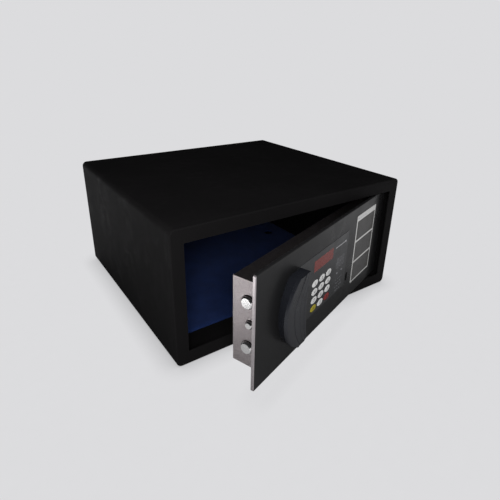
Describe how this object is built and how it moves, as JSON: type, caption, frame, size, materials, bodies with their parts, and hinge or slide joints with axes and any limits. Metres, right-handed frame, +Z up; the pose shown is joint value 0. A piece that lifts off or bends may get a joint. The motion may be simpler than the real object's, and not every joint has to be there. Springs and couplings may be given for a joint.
{
  "type": "in-room safe",
  "caption": "Sheet-steel hotel room safe with a swing door ajar, motor-thrown round bolts, oval keypad, display, key override and crescent pull handle.",
  "frame": {"origin": "centre of the base anchor pattern on the underside of the safe, which is the centre of the underside", "axes": "+X to the right seen from the front, +Y from the door side into the body, +Z up"},
  "size_m": [0.42, 0.4883, 0.2],
  "materials": {
    "body_black": "fine-textured matt powder coat",
    "door_charcoal": "satin powder coat",
    "box_grey": "light grey hammered powder coat",
    "pin_steel": "bright steel",
    "bolt_chrome": "polished chrome",
    "slide_zinc": "zinc plate",
    "mat_navy": "needle-felt carpet",
    "handle_blue_black": "fine-grained moulded grip",
    "fascia_charcoal": "matt moulding",
    "window_red": "tinted lens",
    "module_black": "moulded",
    "board_green": "solder mask",
    "label_silver": "printed plate",
    "lock_brass": "turned",
    "lock_black": "blackened steel",
    "gear_white": "acetal",
    "cell_wrap": "shrink wrap",
    "key_white": "moulded key",
    "key_yellow": "moulded key",
    "key_red": "moulded key"
  },
  "bodies": {
    "safe_body": {"front_frame": "body_black", "body_shell": "body_black", "rear_panel": "body_black", "strike_plate": "body_black", "upper_hinge_bracket": "body_black", "lower_hinge_bracket": "body_black", "upper_hinge_pin": "pin_steel", "lower_hinge_pin": "pin_steel", "hinge_washer": "pin_steel", "floor_mat": "mat_navy"},
    "door": {"door_plate": "door_charcoal", "bolt_box": "box_grey", "back_cover": "box_grey", "cover_posts": "pin_steel", "cover_screws": "pin_steel", "upper_hinge_barrel": "box_grey", "lower_hinge_barrel": "box_grey", "pull_handle": "handle_blue_black", "handle_screws": "pin_steel", "instruction_label": "label_silver", "keypad_fascia": "fascia_charcoal", "display_window": "window_red", "display_module": "module_black", "control_board": "board_green", "board_screws": "pin_steel", "key_switches": "module_black", "bolt_guide": "box_grey", "gear_motor": "pin_steel", "lock_body": "lock_brass", "battery_holder": "module_black", "battery_cells": "cell_wrap", "battery_cover": "module_black"},
    "bolt_work": {"bolt_slide": "slide_zinc", "upper_bolt": "bolt_chrome", "lower_bolt": "bolt_chrome", "middle_bolt": "bolt_chrome"},
    "motor_drive": {"motor_gear": "gear_white", "motor_shaft": "pin_steel"},
    "key_lock": {"key_plug": "lock_black", "key_gear": "lock_brass"},
    "button_1": {"key_1": "key_white"},
    "button_2": {"key_2": "key_white"},
    "button_3": {"key_3": "key_white"},
    "button_4": {"key_4": "key_white"},
    "button_5": {"key_5": "key_white"},
    "button_6": {"key_6": "key_white"},
    "button_7": {"key_7": "key_white"},
    "button_8": {"key_8": "key_white"},
    "button_9": {"key_9": "key_white"},
    "button_clear": {"key_clear": "key_yellow"},
    "button_0": {"key_0": "key_white"},
    "button_lock": {"key_lock": "key_red"}
  },
  "joints": [
    {"name": "door_swing", "type": "hinge", "parent": "safe_body", "child": "door", "pos_m": [0.15225, -0.1605, 0.1], "axis": [0, 0, 1], "range_deg": [-18.7, 76.3]},
    {"name": "bolt_throw", "type": "slide", "parent": "door", "child": "bolt_work", "axis": [-0.9472, -0.3206, 0], "range_m": [0, 0.015]},
    {"name": "motor_turn", "type": "hinge", "parent": "door", "child": "motor_drive", "pos_m": [-0.02609, -0.22561, 0.067], "axis": [-0.3206, 0.9472, 0], "range_deg": [-96, 0]},
    {"name": "key_turn", "type": "hinge", "parent": "door", "child": "key_lock", "pos_m": [0.06319, -0.1954, 0.067], "axis": [-0.3206, 0.9472, 0], "range_deg": [-96, 0]},
    {"name": "press_1", "type": "slide", "parent": "door", "child": "button_1", "axis": [-0.3206, 0.9472, 0], "range_m": [0, 0.001], "stiffness_N_per_m": 400, "springref_m": -0.001},
    {"name": "press_2", "type": "slide", "parent": "door", "child": "button_2", "axis": [-0.3206, 0.9472, 0], "range_m": [0, 0.001], "stiffness_N_per_m": 400, "springref_m": -0.001},
    {"name": "press_3", "type": "slide", "parent": "door", "child": "button_3", "axis": [-0.3206, 0.9472, 0], "range_m": [0, 0.001], "stiffness_N_per_m": 400, "springref_m": -0.001},
    {"name": "press_4", "type": "slide", "parent": "door", "child": "button_4", "axis": [-0.3206, 0.9472, 0], "range_m": [0, 0.001], "stiffness_N_per_m": 400, "springref_m": -0.001},
    {"name": "press_5", "type": "slide", "parent": "door", "child": "button_5", "axis": [-0.3206, 0.9472, 0], "range_m": [0, 0.001], "stiffness_N_per_m": 400, "springref_m": -0.001},
    {"name": "press_6", "type": "slide", "parent": "door", "child": "button_6", "axis": [-0.3206, 0.9472, 0], "range_m": [0, 0.001], "stiffness_N_per_m": 400, "springref_m": -0.001},
    {"name": "press_7", "type": "slide", "parent": "door", "child": "button_7", "axis": [-0.3206, 0.9472, 0], "range_m": [0, 0.001], "stiffness_N_per_m": 400, "springref_m": -0.001},
    {"name": "press_8", "type": "slide", "parent": "door", "child": "button_8", "axis": [-0.3206, 0.9472, 0], "range_m": [0, 0.001], "stiffness_N_per_m": 400, "springref_m": -0.001},
    {"name": "press_9", "type": "slide", "parent": "door", "child": "button_9", "axis": [-0.3206, 0.9472, 0], "range_m": [0, 0.001], "stiffness_N_per_m": 400, "springref_m": -0.001},
    {"name": "press_clear", "type": "slide", "parent": "door", "child": "button_clear", "axis": [-0.3206, 0.9472, 0], "range_m": [0, 0.001], "stiffness_N_per_m": 400, "springref_m": -0.001},
    {"name": "press_0", "type": "slide", "parent": "door", "child": "button_0", "axis": [-0.3206, 0.9472, 0], "range_m": [0, 0.001], "stiffness_N_per_m": 400, "springref_m": -0.001},
    {"name": "press_lock", "type": "slide", "parent": "door", "child": "button_lock", "axis": [-0.3206, 0.9472, 0], "range_m": [0, 0.001], "stiffness_N_per_m": 400, "springref_m": -0.001}
  ],
  "couplings": [
    {"joint": "motor_turn", "follows": "bolt_throw", "rad_per_m": -111.11},
    {"joint": "key_turn", "follows": "bolt_throw", "rad_per_m": -111.11}
  ]
}
